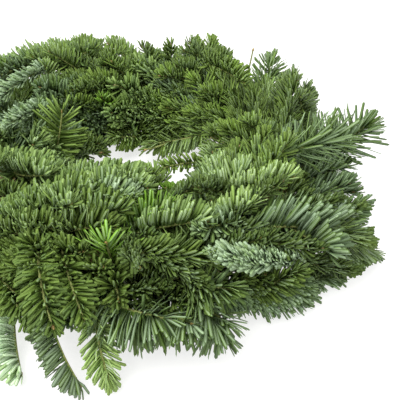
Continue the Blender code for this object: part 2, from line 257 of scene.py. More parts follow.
# Further side shoots: the number of the spray, then where each starts and where it ends as degrees round the ring,
# degrees round the straw and mm from its middle, then its habit and the side that its needles sweep to
FILLING = (
    (0, (357, 42, 30), (348, 100, 58), "flat_mid"),
    (0, (13, 43, 43), (13, 54, 76), "dark_comb"),
    (0, (12, 41, 35), (3, 69, 72), "dark_comb"),
    (0, (34, 54, 34), (42, 121, 58), "olive_comb"),
    (0, (12, 41, 37), (14, 47, 69), "deep_comb"),
    (1, (2, 62, 30), (359, 118, 58), "olive_comb"),
    (1, (14, 56, 40), (7, 73, 84), "dark_comb"),
    (1, (16, 62, 40), (9, 74, 86), "dark_comb"),
    (1, (35, 68, 56), (36, 71, 84), "bare_stick"),
    (2, (14, 155, 30), (14, 150, 62), "fan_mid"),
    (2, (32, 163, 56), (74, 178, 79), "olive_comb", (-0.1, -0.5, -0.8)),
    (2, (28, 124, 30), (48, 147, 52), "olive_comb"),
    (2, (42, 175, 77), (77, 179, 88), "olive_comb", (0, -0.6, -0.2)),
    (4, (50, 155, 30), (81, 172, 52), "dark_comb", (-0.1, -0.8, 0.2)),
    (4, (65, 83, 44), (70, 88, 76), "dark_comb"),
    (4, (56, 88, 40), (64, 105, 66), "dark_comb"),
    (5, (54, -168, 30), (79, -167, 48), "dark_comb"),
    (5, (75, 170, 71), (112, 173, 66), "olive_comb", (0, -0.6, -0.2)),
    (7, (53, 62, 52), (40, 92, 76), "dark_comb"),
    (7, (80, 91, 44), (83, 94, 76), "dark_comb"),
    (7, (56, 62, 46), (62, 82, 78), "dark_comb"),
    (7, (61, 64, 52), (21, 101, 70), "olive_comb", (0.3, -0.2, 1)),
    (7, (52, 61, 37), (72, 118, 64), "olive_comb"),
    (7, (54, 63, 56), (64, 86, 70), "dark_comb"),
    (7, (72, 64, 36), (94, 104, 66), "olive_comb"),
    (8, (63, 136, 30), (89, 141, 54), "olive_comb"),
    (10, (107, 94, 46), (94, 98, 74), "olive_comb"),
    (10, (89, 104, 40), (99, 103, 68), "olive_comb"),
    (10, (92, 107, 34), (117, 114, 58), "olive_comb"),
    (11, (80, -180, 30), (110, 170, 48), "dark_comb"),
    (11, (100, 160, 34), (111, 135, 60), "bright_tuft"),
    (13, (112, 64, 50), (119, 66, 80), "grey_comb"),
    (13, (102, 65, 43), (109, 87, 76), "olive_comb"),
    (13, (119, 75, 50), (105, 90, 78), "shade_comb"),
    (13, (99, 64, 37), (117, 74, 66), "grey_comb"),
    (13, (125, 62, 46), (175, 90, 72), "brush", (-0.3, -0.3, 1)),
    (13, (130, 62, 58), (154, 62, 72), "blue_comb", (-0.3, -0.3, 1)),
    (13, (114, 65, 58), (134, 63, 80), "grey_comb"),
    (14, (118, 98, 34), (131, 99, 62), "dark_comb"),
    (14, (111, 137, 30), (136, 125, 56), "olive_comb"),
    (14, (146, 173, 61), (135, 176, 80), "dark_comb", (0, -0.3, 0.6)),
    (15, (132, 61, 57), (138, 62, 79), "grey_comb"),
    (15, (135, 61, 60), (140, 62, 83), "olive_comb"),
    (15, (125, 61, 32), (129, 84, 70), "olive_comb"),
    (15, (122, 61, 35), (183, 107, 70), "brush", (-0.2, -0.3, 1)),
    (17, (142, 161, 34), (137, 168, 80), "dark_comb", (0.3, -0.2, 1)),
    (17, (153, 167, 41), (140, 174, 82), "dark_comb", (0.3, -0.2, 1)),
    (17, (170, 173, 44), (159, 135, 84), "flat_yellow", (0, -0.5, 1)),
    (22, (203, 83, 38), (120, -128, 67), "grey_comb", (0, 0.3, 1)),
    (22, (186, 112, 26), (162, 116, 44), "olive_comb"),
    (23, (218, 147, 52), (272, 109, 68), "grey_comb", (0.1, 0.3, 1)),
    (27, (216, 55, 36), (246, 91, 60), "shade_comb", (0, 0.2, 1)),
    (27, (220, 32, 34), (246, 73, 58), "mid_comb", (0, 0.1, 1)),
    (27, (222, 6, 36), (245, 56, 60), "mid_comb"),
    (27, (229, 27, 40), (244, 18, 74), "flat_mid", (0, -0.6, 0.8)),
    (28, (220, 81, 40), (252, 104, 66), "shade_comb", (0, 0.3, 1)),
    (28, (240, 101, 45), (267, 100, 68), "pale_tuft", (-0.2, 0.2, 1)),
    (30, (235, 28, 34), (255, 57, 62), "mid_comb"),
    (30, (222, -20, 43), (244, 42, 64), "mid_comb"),
    (31, (236, 87, 42), (264, 89, 64), "shade_comb", (0, 0.2, 1)),
    (31, (238, 66, 40), (262, 76, 62), "mid_comb", (0, 0.1, 1)),
    (31, (248, 54, 44), (258, 25, 84), "flat_mid", (0, -0.6, 0.8)),
    (31, (247, 47, 74), (253, 22, 90), "flat_mid", (0, -0.6, 0.8)),
    (33, (261, 43, 36), (261, 61, 70), "bright_fan", (0, 0.4, 1)),
    (33, (247, 24, 36), (260, 48, 64), "mid_comb"),
    (33, (257, 55, 38), (264, 31, 72), "mid_comb"),
    (33, (260, 50, 34), (278, 53, 58), "dark_comb", (0, -0.2, 1)),
    (33, (260, 21, 36), (278, 37, 60), "dark_comb", (0, -0.2, 1)),
    (33, (264, 4, 40), (279, 23, 66), "dark_comb", (0, -0.5, 0.6)),
    (33, (261, 20, 44), (273, 21, 80), "fringe", (0, -0.9, -0.6)),
    (33, (265, 14, 44), (277, 18, 84), "fringe", (0, -0.9, -0.6)),
    (33, (260, 19, 40), (270, 21, 62), "short_dark", (0, -0.5, 0.6)),
    (33, (262, 17, 42), (274, 36, 68), "short_dark"),
    (33, (246, 11, 40), (254, 16, 70), "blue_comb", (0, -0.6, 0.8)),
    (34, (261, 97, 34), (278, 93, 62), "bright_tuft", (0, 0.2, 1)),
    (34, (266, 74, 36), (287, 70, 62), "grey_comb", (0, 0.3, 1)),
    (34, (290, 97, 36), (302, 68, 66), "yellow_comb", (0, 0.3, 1)),
    (34, (264, 51, 52), (277, 50, 76), "dark_comb"),
    (34, (270, 42, 60), (284, 44, 80), "dark_comb"),
    (34, (268, 32, 62), (281, 35, 84), "short_dark"),
    (34, (274, 23, 64), (286, 29, 84), "dark_hanging", (0, -0.8, 0.3)),
    (36, (277, 27, 36), (291, 35, 56), "dark_comb", (0, -0.2, 1)),
    (36, (279, -4, 40), (290, 15, 64), "hanging", (0, -0.9, 0.2)),
    (36, (277, 4, 44), (284, 12, 80), "fringe", (0.1, -0.9, -0.6)),
    (36, (287, 13, 40), (305, 5, 70), "hanging", (0, -0.9, 0.2)),
    (36, (290, -18, 40), (307, -8, 76), "hanging", (0.1, -1, 0)),
    (36, (300, -33, 41), (316, -16, 84), "hanging", (0.1, -1, 0)),
    (36, (288, 14, 44), (305, 6, 64), "deep_comb", (0, -0.4, 1)),
    (36, (289, 4, 43), (296, 21, 63), "dark_comb"),
    (36, (283, 12, 36), (292, 24, 61), "dark_comb"),
    (36, (285, 3, 36), (293, 15, 42), "dark_comb"),
    (36, (293, 6, 50), (302, 21, 80), "dark_comb"),
    (36, (309, -26, 53), (320, -14, 77), "deep_comb"),
    (36, (298, -3, 46), (318, -16, 73), "deep_comb", (0, -0.4, 1)),
    (36, (270, 10, 42), (282, 28, 70), "short_dark"),
    (36, (275, 19, 40), (286, 33, 66), "short_dark"),
    (37, (286, 72, 34), (303, 46, 56), "deep_comb"),
    (37, (309, 25, 73), (320, 13, 95), "dark_comb", (0.3, -0.8, 0.4)),
    (38, (350, 158, 74), (285, 151, 85), "sprig", (0, -0.6, 0.8)),
    (39, (304, 21, 66), (284, 47, 84), "brush", (0, -0.3, 1)),
    (39, (304, 19, 66), (285, 44, 84), "brush", (0, -0.5, 1)),
    (39, (304, 18, 66), (288, 39, 84), "brush", (0, -0.5, 1)),
    (39, (308, 55, 50), (308, 25, 92), "wide_fan", (0.5, 0.5, 1)),
    (39, (307, 44, 34), (320, 33, 56), "deep_comb"),
    (39, (324, -10, 78), (326, -4, 96), "dark_hanging", (0.2, -1, -0.3)),
    (40, (330, 77, 46), (348, 42, 76), "feather", (0, -0.4, 1)),
    (41, (342, 115, 30), (27, -168, 52), "olive_comb", (-0.3, -0.2, 1)),
    (41, (326, 154, 31), (301, 133, 59), "flat_mid"),
    (42, (315, -21, 52), (318, -6, 84), "dark_comb", (0.2, -0.8, 0)),
    (42, (329, 3, 30), (334, 3, 78), "blue_comb", (0.8, -0.4, 0.6)),
    (42, (328, -10, 49), (330, -1, 86), "dark_comb", (0.8, -0.5, 0.2)),
    (42, (331, 25, 30), (337, 23, 70), "blue_comb", (0.6, 0, 0.8)),
    (42, (317, -21, 49), (324, -10, 74), "deep_comb"),
    (42, (327, -11, 51), (328, -2, 91), "dark_comb", (0.5, -0.6, 0.4)),
    (43, (342, 64, 40), (344, 39, 74), "blue_comb", (0.3, 0.5, 1)),
    (44, (303, 137, 40), (318, 66, 68), "yellow_comb", (0, 0.3, 1)),
    (45, (342, 5, 34), (340, 9, 71), "blue_comb", (0.8, -0.3, 0.6)),
    (45, (337, 48, 34), (342, 29, 70), "blue_comb", (0.5, 0.3, 1)),
    (46, (356, 113, 30), (7, 139, 60), "olive_comb"),
    (46, (359, 137, 30), (25, 177, 50), "olive_comb"),
)

# Low side shoots that hide the straw round the outside: degrees round the straw and mm from its middle where they
# start and where they end, their habit, and then the number of the spray and the degrees round the ring of each
LOW_FILLING = (
    ((-14, 24), (-22, 46), "dark_comb", ((0, 0), (6, 40), (9, 80), (15, 120), (21, 160))),
    ((-14, 24), (-22, 46), "olive_comb", ((0, 10), (0, 20), (3, 30), (6, 60), (12, 100), (18, 140), (24, 180))),
    ((-14, 24), (-22, 46), "olive_comb", ((30, 220),)),
    ((-14, 24), (-22, 46), "dark_comb", ((24, 200), (30, 240))),
    ((12, 24), (8, 46), "dark_comb", ((42, 322), (0, 355), (6, 47), (9, 73), (12, 99), (27, 218))),
    ((12, 24), (8, 46), "olive_comb", ((45, 340), (0, 8), (3, 34), (6, 60), (9, 86), (15, 112))),
    ((12, 24), (8, 46), "dark_comb", ((0, 21),)),
    ((60, 26), (66, 48), "olive_comb", ((3, 28),)),
    ((64, 26), (70, 48), "dark_comb", ((15, 120),)),
    ((34, 24), (38, 46), "dark_comb", ((42, 328), (3, 30), (9, 74))),
    ((34, 24), (38, 46), "olive_comb", ((0, 16), (7, 62))),
)

# All of them run back round the ring by as many degrees
LOW_SWEEP = 26
FILLING += tuple(
    (number, (around, *start), ((around - LOW_SWEEP) % 360, *end), habit)
    for start, end, habit, places in LOW_FILLING
    for number, around in places
)

# The twig that every spray has low beside its stem: degrees round the straw and turns of the wire from the stem, how
# far round the ring it runs, how far it may drift round the straw, and how far its tip stands from its middle in mm
LOW_TWIG = (18, 0.4, 0.45)
LOW_DRIFTS, LOW_STANDS = (-0.3, 0.5), (40, 48)

# The shapes that the needles are picked from: how far the tip is swept aside, and the twist in radians
NEEDLE_SHAPES = {"Needle A": (3.2 * MM, 0.2), "Needle B": (2.0 * MM, -0.25), "Needle C": (4.5 * MM, 0.05)}

# How far a needle may differ from its habit: turned, leaning, longer, rolled, lighter and yellower. The last two
# decide whether it is swept, and whether it grows
NEEDLE_CHANCES = {
    "turn": (-0.3, 0.3),
    "lean": (-0.1, 0.1),
    "length": (0.84, 1.08),
    "roll": (-0.5, 0.5),
    "light": (0.8, 1.18),
    "tone": (-0.14, 0.14),
    "sweep": (0, 1),
    "growth": (0, 1),
}
GOLDEN_ANGLE = math.pi * (3 - math.sqrt(5))
TWIG_STEP = 6 * MM
TWIG_SIDES = 6

# Where the unit cone of a needle is cut across, and how wide the needle is past each share of its length
NEEDLE_CUTS = (-0.05, 0.44)
NEEDLE_WIDTHS = ((0.99, 0), (0.8, 0.84), (0.3, 1), (-1, 0.7))
BUD_RADIUS, BUD_HALF, BUD_TAPER, BUD_FOOT = 1.2 * MM, 1.9 * MM, 0.25, 0.6

# How needles change over a run of twig, from one share to the other: swept, leaning and shorter near the tip, and
# shorter near the foot
SWEEP_RANGE = (2 * MM, 14 * MM, 0.2, 1)
LEAN_RANGE = (0, 16 * MM, 0.35, 1)
TIP_RANGE = (0, 18 * MM, 0.55, 1)
FOOT_RANGE = (0, 12 * MM, 0.7, 1)
LEAST_ROOM = 0.55
NEEDLE_FLOOR = 3.5 * MM
NO_FLOOR = -10
HOLE_RADIUS = 42 * MM

# The shares of a needle where it is looked for in the straw and over the hole, how far its flat side turns forward,
# how far underneath needles are left out, further where they are swept, and how far a twig's upper side turns up
LOOKED_AT = (0.6, 1.0)
FACED_FORWARD = 0.8
UNDERNEATH = (0.3, -1.15)
UPWARD = Vector((0, 0, 0.5))


def linear(colour):
    """An sRGB hex colour as linear red, green, blue and alpha."""
    channels = [int(colour[i : i + 2], 16) / 255 for i in (1, 3, 5)]
    return (*(c / 12.92 if c <= 0.04045 else ((c + 0.055) / 1.055) ** 2.4 for c in channels), 1)


class NeedleSettings(bpy.types.PropertyGroup):
    """Size and set of the needles."""

    length: bpy.props.FloatProperty(
        name="Length", description="Length of a full needle", default=22 * MM, unit="LENGTH"
    )
    width: bpy.props.FloatProperty(
        name="Width", description="Width across the flat of a needle", default=2.3 * MM, unit="LENGTH"
    )
    thickness: bpy.props.FloatProperty(
        name="Thickness", description="Thickness from the flat to the keel", default=0.7 * MM, unit="LENGTH"
    )
    spacing: bpy.props.FloatProperty(
        name="Spacing", description="Run of twig for each needle", default=0.4 * MM, unit="LENGTH"
    )


# Each colour's setting, what it is for, and its sRGB value
COLOURS = (
    ("blue_green", "Waxy needles", "#748A6A"),
    ("deep_green", "Older needles", "#587230"),
    ("mid_green", "Most needles", "#728B3A"),
    ("yellow_green", "Young needles", "#7AA830"),
    ("bloom", "Pale breathing lines of a needle", "#BCCDB6"),
    ("bark", "Young bark", "#7C884A"),
    ("straw", "Dry stalks", "#B79B62"),
    ("wire", "Green lacquer", "#2E3A28"),
)


class ColourSettings(bpy.types.PropertyGroup):
    """Colours of the natural materials."""

    __annotations__ = {
        key: bpy.props.FloatVectorProperty(
            name=key.replace("_", " ").capitalize(), description=use, subtype="COLOR", size=4, default=linear(code)
        )
        for key, use, code in COLOURS
    }


class StageSettings(bpy.types.PropertyGroup):
    """Camera, light and floor."""

    distance: bpy.props.FloatProperty(
        name="Distance", description="Camera to the middle of the ring", default=0.526, unit="LENGTH"
    )
    elevation: bpy.props.FloatProperty(
        name="Elevation", description="Camera above the horizon", default=math.radians(33), subtype="ANGLE"
    )
    key_power: bpy.props.FloatProperty(name="Key power", description="Power of the soft box, in watts", default=27)
    sky: bpy.props.FloatProperty(name="Sky", description="Strength of the white surround", default=1.35)


class WreathSettings(bpy.types.PropertyGroup):
    """All the settings of the wreath."""

    needles: bpy.props.PointerProperty(type=NeedleSettings)
    colours: bpy.props.PointerProperty(type=ColourSettings)
    stage: bpy.props.PointerProperty(type=StageSettings)


def set_inputs(tree, node, inputs):
    """Gives a node's inputs, by name or in their order, a value, a socket or another node's first output."""
    shown = [socket for socket in node.inputs if socket.enabled]
    for key, value in inputs.items() if isinstance(inputs, dict) else enumerate(inputs):
        socket = shown[key] if isinstance(key, int) else next(s for s in shown if s.name == key)
        if isinstance(value, bpy.types.Node):
            value = next(s for s in value.outputs if s.enabled)
        if isinstance(value, bpy.types.NodeSocket):
            tree.links.new(value, socket)
        else:
            socket.default_value = value


def add_node(tree, kind, settings=None, inputs=(), stops=()):
    """Adds a node with its settings and inputs. The stops are those of a colour ramp, each a place and a colour."""
    node = tree.nodes.new(kind)
    for name, value in (settings or {}).items():
        setattr(node, name, value)
    set_inputs(tree, node, inputs)
    for number, (place, colour) in enumerate(stops):
        ramp = node.color_ramp.elements
        stop = ramp[number] if number < 2 else ramp.new(place)
        stop.position, stop.color = place, colour
    return node


def new_material(name):
    """A material with its node tree and its shader."""
    made = bpy.data.materials.new(name)
    made.use_nodes = True
    return made, made.node_tree, made.node_tree.nodes["Principled BSDF"]


def mottled(name, sockets, texture, pattern, stops, height=None):
    """A material whose colour follows one texture, and whose surface does too where its height is given."""
    made, tree, shader = new_material(name)
    place = add_node(tree, "ShaderNodeTexCoord").outputs["Object"]
    mottle = add_node(tree, texture, {}, {"Vector": place, **pattern})
    sockets = {**sockets, "Base Color": add_node(tree, "ShaderNodeValToRGB", {}, (mottle,), stops)}
    if height:
        sockets["Normal"] = add_node(tree, "ShaderNodeBump", {}, {"Height": mottle, **height})
    set_inputs(tree, shader, sockets)
    return made


def noble_fir_needle(colours):
    """Noble fir needle: a waxy leaf, yellower at its foot.

    The wax gives a soft sheen, and its pores pale lines beside the keel. Its lightness, set for each twig, is
    partly painted light and shade, and where it is raised the green is also paler.
    """
    made, tree, shader = new_material("noble fir needle")
    tone, light, along, under = (
        add_node(tree, "ShaderNodeAttribute", {"attribute_name": key}).outputs["Fac"]
        for key in ("tone", "light", "along", "under")
    )
    hues = (colours.blue_green, colours.deep_green, colours.mid_green, colours.yellow_green)
    green = add_node(tree, "ShaderNodeValToRGB", {}, (tone,), zip((0, 0.35, 0.65, 1), hues))
    pores = [(place, (grey, grey, grey, 1)) for place, grey in ((0.5, 0), (0.72, 1), (0.95, 0.15))]
    lines = add_node(tree, "ShaderNodeValToRGB", {}, (under,), pores)
    amount = add_node(tree, "ShaderNodeMath", {"operation": "MULTIPLY"}, (lines, 0.45))
    waxed = add_node(tree, "ShaderNodeMix", {"data_type": "RGBA"}, (amount, green, tuple(colours.bloom)))
    foot = add_node(tree, "ShaderNodeMapRange", {}, (along, 0, 0.16, 0.45, 0))
    footed = add_node(tree, "ShaderNodeMix", {"data_type": "RGBA"}, (foot, waxed, tuple(colours.yellow_green)))
    # Painted light and shade: the lightness scales the colour's value, and the green turns paler as it rises
    paler = add_node(tree, "ShaderNodeMapRange", {}, (light, 1, 2, 1, 0.75))
    own = {"Saturation": paler, "Value": light, "Color": footed}
    shaded = add_node(tree, "ShaderNodeHueSaturation", {}, own)
    sockets = {"Roughness": 0.5, "Specular IOR Level": 0.35, "IOR": 1.45, "Base Color": shaded}
    set_inputs(tree, shader, sockets)
    return made


def young_bark(colours):
    """Young fir bark: ridged, dull, olive to ochre, with darker specks."""
    specks = {"Scale": 1 / (1.6 * MM), "Detail": 4}
    stops = ((0.3, linear("#66632F")), (0.65, colours.bark))
    ridges = {"Strength": 0.5, "Distance": 0.2 * MM}
    return mottled("young fir bark", {"Roughness": 0.75}, "ShaderNodeTexNoise", specks, stops, ridges)


def resin_bud():
    """Winter bud: overlapping brown scales under a thin coat of resin, which makes it shine."""
    scales = {"Scale": 1 / (0.9 * MM)}
    stops = ((0, linear("#A08C50")), (1, linear("#7C6438")))
    return mottled("resinous fir bud", {"Roughness": 0.35}, "ShaderNodeTexVoronoi", scales, stops)


def cut_wood():
    """Fresh cut fir wood: pale and matt, with fine rings."""
    rings = {"Scale": 1 / (0.6 * MM)}
    stops = ((0, linear("#B99A5E")), (1, linear("#E2D2A4")))
    return mottled("cut fir wood", {"Roughness": 0.8}, "ShaderNodeTexNoise", rings, stops)


def lacquered_wire(colours):
    """Drawn iron wire under green lacquer: smooth and glossy, with the lacquer thin in places."""
    sockets = {"Roughness": 0.3, "Coat Weight": 0.5}
    worn = {"Scale": 1 / (4 * MM), "Detail": 3}
    stops = ((0.55, colours.wire), (0.75, linear("#4E5A45")))
    return mottled("green lacquered iron wire", sockets, "ShaderNodeTexNoise", worn, stops)


def dry_straw(colours):
    """Threshed rye straw: split stalks with a silky skin, each a little lighter or browner than the next."""
    made, tree, shader = new_material("threshed straw")
    tone = add_node(tree, "ShaderNodeAttribute", {"attribute_name": "tone"}).outputs["Fac"]
    place = add_node(tree, "ShaderNodeTexCoord").outputs["Object"]
    blotches = add_node(tree, "ShaderNodeTexNoise", {}, {"Vector": place, "Scale": 1 / (7 * MM), "Detail": 5})
    mixed = add_node(tree, "ShaderNodeMath", {"operation": "MULTIPLY_ADD"}, (tone, 0.6, -0.3))
    both = add_node(tree, "ShaderNodeMath", {"operation": "ADD"}, (mixed, blotches))
    stops = ((0.25, linear("#7A6236")), (0.6, colours.straw), (0.85, linear("#D8C48E")))
    colour = add_node(tree, "ShaderNodeValToRGB", {}, (both,), stops)
    creases = add_node(tree, "ShaderNodeBump", {}, {"Height": blotches, "Strength": 0.4, "Distance": 0.3 * MM})
    set_inputs(tree, shader, {"Roughness": 0.55, "Base Color": colour, "Normal": creases})
    return made


def tube_point(phi, psi, rho):
    """The point at phi round the ring, psi round the straw from straight out, and rho from its middle."""
    reach = RING_RADIUS + rho * math.cos(psi)
    height = STRAW_HEIGHT + rho * math.sin(psi)
    return RING_MIDDLE + Vector((reach * math.cos(phi), reach * math.sin(phi), height))


def outward(phi, psi):
    return Vector((math.cos(psi) * math.cos(phi), math.cos(psi) * math.sin(phi), math.sin(psi)))


def tie_of(number):
    """(turn of the wire, row of TIES) that holds a spray: the rows alternate from turn to turn."""
    turn, place = divmod(number, SPRAYS_PER_TURN)
    return turn, TIES[2 * place + turn % 2]


def laid_line(phi, psi, tip_phi, tip_psi, stand, bow):
    """A twig's middle line: points, each with the direction out of the straw there.

    It starts at its cut end behind the wire, lies on the straw, and rises from it to its tip.
    """
    sweep = math.remainder(tip_phi - phi, 2 * math.pi)
    way = math.copysign(1, sweep)
    reach = RING_RADIUS + STEM_SEAT * math.cos(psi)
    start = way * BARE / reach
    line = []
    for run in [-way * TAIL / reach, 0] + [start + (sweep - start) * i / MAIN_STEPS for i in range(MAIN_STEPS + 1)]:
        share = max(0, (run - start) / (sweep - start))
        across = psi + (tip_psi - psi) * share**LATE_TURN
        rho = STEM_SEAT + (stand - STEM_SEAT) * share**bow
        line.append((tube_point(phi + run, across, rho), outward(phi + run, across)))
    return line


def main_shoot(number, chance):
    """The middle line of a spray's main shoot."""
    turn, (tie, length, stand) = tie_of(number)
    psi = math.radians(tie)
    phi = (turn + psi / (2 * math.pi)) * TURN_ANGLE
    length *= chance.uniform(*MAIN_LENGTHS) * MM
    drift = math.radians(chance.uniform(*MAIN_DRIFTS))
    stand *= chance.uniform(*MAIN_STANDS) * MM
    bow = chance.uniform(*MAIN_RISES)
    tip_phi = phi + length / (RING_RADIUS + stand / 2 * math.cos(psi))
    tip_psi = psi + drift
    if number in SET_TIPS:
        around, across, away = SET_TIPS[number]
        tip_phi, tip_psi, stand = math.radians(around), math.radians(across), away * MM
    return laid_line(phi, psi, tip_phi, tip_psi, stand, bow)


def at_run(line, run):
    """The point at a run along a line, the direction out of the straw there, and the line's own direction."""
    for (point, out), (end, end_out) in zip(line, line[1:]):
        step = end - point
        if run <= step.length or end is line[-1][0]:
            break
        run -= step.length
    share = run / step.length
    return point + step * share, out.lerp(end_out, share).normalized(), step.normalized()


def length_of(line):
    return sum((b - a).length for (a, _), (b, _) in zip(line, line[1:]))


def whorled(line):
    """The same line with a point at its ends, where it lies on the straw, and at both sides of each whorl."""
    total, bare = length_of(line), TAIL + BARE
    count = round((total - bare) / WHORL_SPACING)
    runs = [0, TAIL, TAIL + BARE / 2]
    for whorl in range(count):
        middle = bare + (total - TIP_BARE - bare) * (whorl + 0.5) / count
        runs += [middle - WHORL_HALF, middle + WHORL_HALF]
    return [at_run(line, run)[:2] for run in (*runs, total)]


def side_shoots(main, chance):
    """The side shoots of a main shoot: in one flat fan, left and right in turn, shorter to the tip.

    Each bends towards the main shoot's direction, and lies along the surface where it would sink into it.
    """
    made = []
    side = chance.choice((-1, 1))
    for where, reach in FAN:
        where += chance.uniform(*SHOOT_PLACES)
        angle = side * math.radians(chance.uniform(*SHOOT_ANGLES))
        length = reach * chance.uniform(*SHOOT_LENGTHS) * MM
        base, out, along = at_run(main, where * length_of(main))
        across = out.cross(along).normalized()
        line = []
        for step in range(SIDE_STEPS + 1):
            share = step / SIDE_STEPS
            bend = angle * (1 - STRAIGHTENING * share)
            point = base + (along * math.cos(bend) + across * math.sin(bend) + out * SIDE_LIFT) * length * share
            if step and point.z < LOWEST_TWIG + FLOOR_BEND:
                point.z = LOWEST_TWIG + FLOOR_BEND * math.exp((point.z - LOWEST_TWIG - FLOOR_BEND) / FLOOR_BEND)
            line.append((point, out))
        made.append(line)
        side = -side
    return made


class Twig:
    """One twig of a spray: its points, and at each how thick it is, how its needles grow and where they sweep to."""

    def __init__(self, line, thick, bare, cut, habit, towards=None, early=None, taken_over=0, shade=1):
        self.points = [point for point, _ in line]
        self.values = {key: [] for key in (*HABIT_KEYS, "bare", "cut", "thick")}
        self.ups = []
        for i, (_, out) in enumerate(line):
            first = length_of(line[: i + 1]) < taken_over * MM
            numbers = dict(zip(HABIT_KEYS, HABITS[early if first else habit]))
            numbers["light"] *= shade
            numbers |= {"bare": bare, "cut": cut, "thick": thick + (TIP_RADIUS - thick) * i / (len(line) - 1)}
            for key, value in numbers.items():
                self.values[key].append(value)
            self.ups.append(Vector(towards) if towards and not first else (out + UPWARD).normalized())


def freed(point):
    """The point moved out of the straw and off the surface, and the direction out of the straw there."""
    flat = (point - RING_MIDDLE).xy.normalized() * RING_RADIUS
    middle = RING_MIDDLE + Vector((flat.x, flat.y, STRAW_HEIGHT))
    out = point - middle
    point = middle + out.normalized() * max(out.length, STEM_SEAT)
    point.z = max(point.z, LOWEST_TWIG)
    return point, out.normalized()


def branching(start, end, twigs):
    """A bowed line to the end from the place nearest to the start, either on the twigs or on the straw."""
    (phi, psi, rho), (tip_phi, tip_psi, stand) = start, end
    wanted = tube_point(math.radians(phi), math.radians(psi), rho * MM)
    tip = tube_point(math.radians(tip_phi), math.radians(tip_psi), stand * MM)
    roots = [point for twig in twigs for point in twig.points[2:]]
    roots.append(tube_point(math.radians(phi), math.radians(psi), STEM_SEAT))
    root = min(roots, key=lambda point: (point - wanted).length)
    bow = root.lerp(tip, BOW_AT) + freed(tip)[1] * BOW_RISE * (tip - root).length
    shares = [step / BRANCH_STEPS for step in range(BRANCH_STEPS + 1)]
    return [freed(root.lerp(bow, share).lerp(bow.lerp(tip, share), share)) for share in shares]


def twigs_of(number):
    """All the twigs of a spray: its main shoot, its side shoots, those that fill it, and the low one beside it."""
    chance = random.Random(SEED * 1000 + number)
    main = main_shoot(number, chance)
    sides = [] if number in SINGLE else side_shoots(whorled(main), chance)
    own = random.Random(SEED * 2000 + number)
    looks = LOOKS.get(number, (own.choice(("olive_comb", "grey_comb", "blue_comb")),))
    side_habit = looks[2] if len(looks) > 2 else looks[0]
    twigs = [Twig(main, STEM_RADIUS, TAIL + BARE, 1, *looks)]
    for line in sides[: 2 if number in LEAN else None]:
        twigs.append(Twig(line, SIDE_RADIUS, SIDE_BARE, 0, side_habit, shade=own.uniform(*SHOOT_SHADES)))
    for owner, start, end, *look in FILLING:
        if owner == number:
            twigs.append(Twig(branching(start, end, twigs), SIDE_RADIUS, FILLING_BARE, 0, *look))
    turn, (tie, _, _) = tie_of(number)
    across, turns, sweep = LOW_TWIG
    psi = math.radians(tie + across)
    phi = (turn + turns + psi / (2 * math.pi)) * TURN_ANGLE
    low = laid_line(phi, psi, phi + sweep, psi + own.uniform(*LOW_DRIFTS), own.uniform(*LOW_STANDS) * MM, 1)
    twigs.append(Twig([freed(point) for point, _ in low], SIDE_RADIUS, BARE, 1, "dark_comb"))
    return twigs


def guide_mesh(name, lines, values, ups=None):
    """A mesh of open edge chains, one for each line, with a number attribute for each of values."""
    mesh = bpy.data.meshes.new(name)
    points, edges = [], []
    for line in lines:
        edges += [(len(points) + i, len(points) + i + 1) for i in range(len(line) - 1)]
        points += line
    mesh.from_pydata(points, edges, [])
    for key, numbers in values.items():
        mesh.attributes.new(key, "FLOAT", "POINT").data.foreach_set("value", numbers)
    if ups:
        numbers = [number for up in ups for number in up]
        mesh.attributes.new("up", "FLOAT_VECTOR", "POINT").data.foreach_set("vector", numbers)
    return mesh


def new_mesh(name, bm, smooth=True):
    """A mesh of a bmesh, which is freed."""
    for face in bm.faces:
        face.smooth = smooth
    mesh = bpy.data.meshes.new(name)
    bm.to_mesh(mesh)
    bm.free()
    return mesh


def new_object(name, data):
    """An object in the scene, at the origin."""
    made = bpy.data.objects.new(name, data)
    bpy.context.scene.collection.objects.link(made)
    return made


def needle_shape(name, sizes, sweep, twist):
    """A blunt needle along +Z, flat on its +X side and keeled on the other, swept towards +X."""
    bm = bmesh.new()
    bmesh.ops.create_cone(bm, cap_ends=True, segments=3, radius1=1, radius2=0, depth=1)
    for height in NEEDLE_CUTS:
        parts = bm.verts[:] + bm.edges[:] + bm.faces[:]
        bmesh.ops.bisect_plane(bm, geom=parts, plane_co=(0, 0, height), plane_no=(0, 0, 1))
    along = bm.verts.layers.float.new("along")
    under = bm.verts.layers.float.new("under")
    for vert in bm.verts:
        share = vert.co.z + 0.5
        full = next(width for past, width in NEEDLE_WIDTHS if share > past)
        keel = vert.co.y > 0.01
        x = -sizes.thickness * full * keel
        y = 0 if keel else math.copysign(sizes.width / 2 * full, vert.co.x)
        turn = twist * share
        vert[along] = share
        vert[under] = keel
        vert.co.x = x * math.cos(turn) - y * math.sin(turn) + sweep * share**2
        vert.co.y = x * math.sin(turn) + y * math.cos(turn)
        vert.co.z = sizes.length * share
    bmesh.ops.triangulate(bm, faces=[face for face in bm.faces if len(face.verts) > 4])
    bmesh.ops.recalc_face_normals(bm, faces=bm.faces)
    return new_object(name, new_mesh(name, bm))


def bud_shape():
    """A pointed winter bud with its foot at the origin, along +Z."""
    bm = bmesh.new()
    bmesh.ops.create_uvsphere(bm, u_segments=7, v_segments=5, radius=1)
    for vert in bm.verts:
        radius = (1 - BUD_TAPER * vert.co.z) * BUD_RADIUS
        vert.co = Vector((vert.co.x * radius, vert.co.y * radius, (vert.co.z + BUD_FOOT) * BUD_HALF))
    return new_object("bud_shape", new_mesh("bud_shape", bm))


def cut_shape():
    """A thin disc that closes a cut twig, across +Z, one unit in radius."""
    bm = bmesh.new()
    bmesh.ops.create_cone(bm, cap_ends=True, cap_tris=True, segments=8, radius1=0.95, radius2=1.04, depth=0.35)
    return new_object("cut_shape", new_mesh("cut_shape", bm, False))


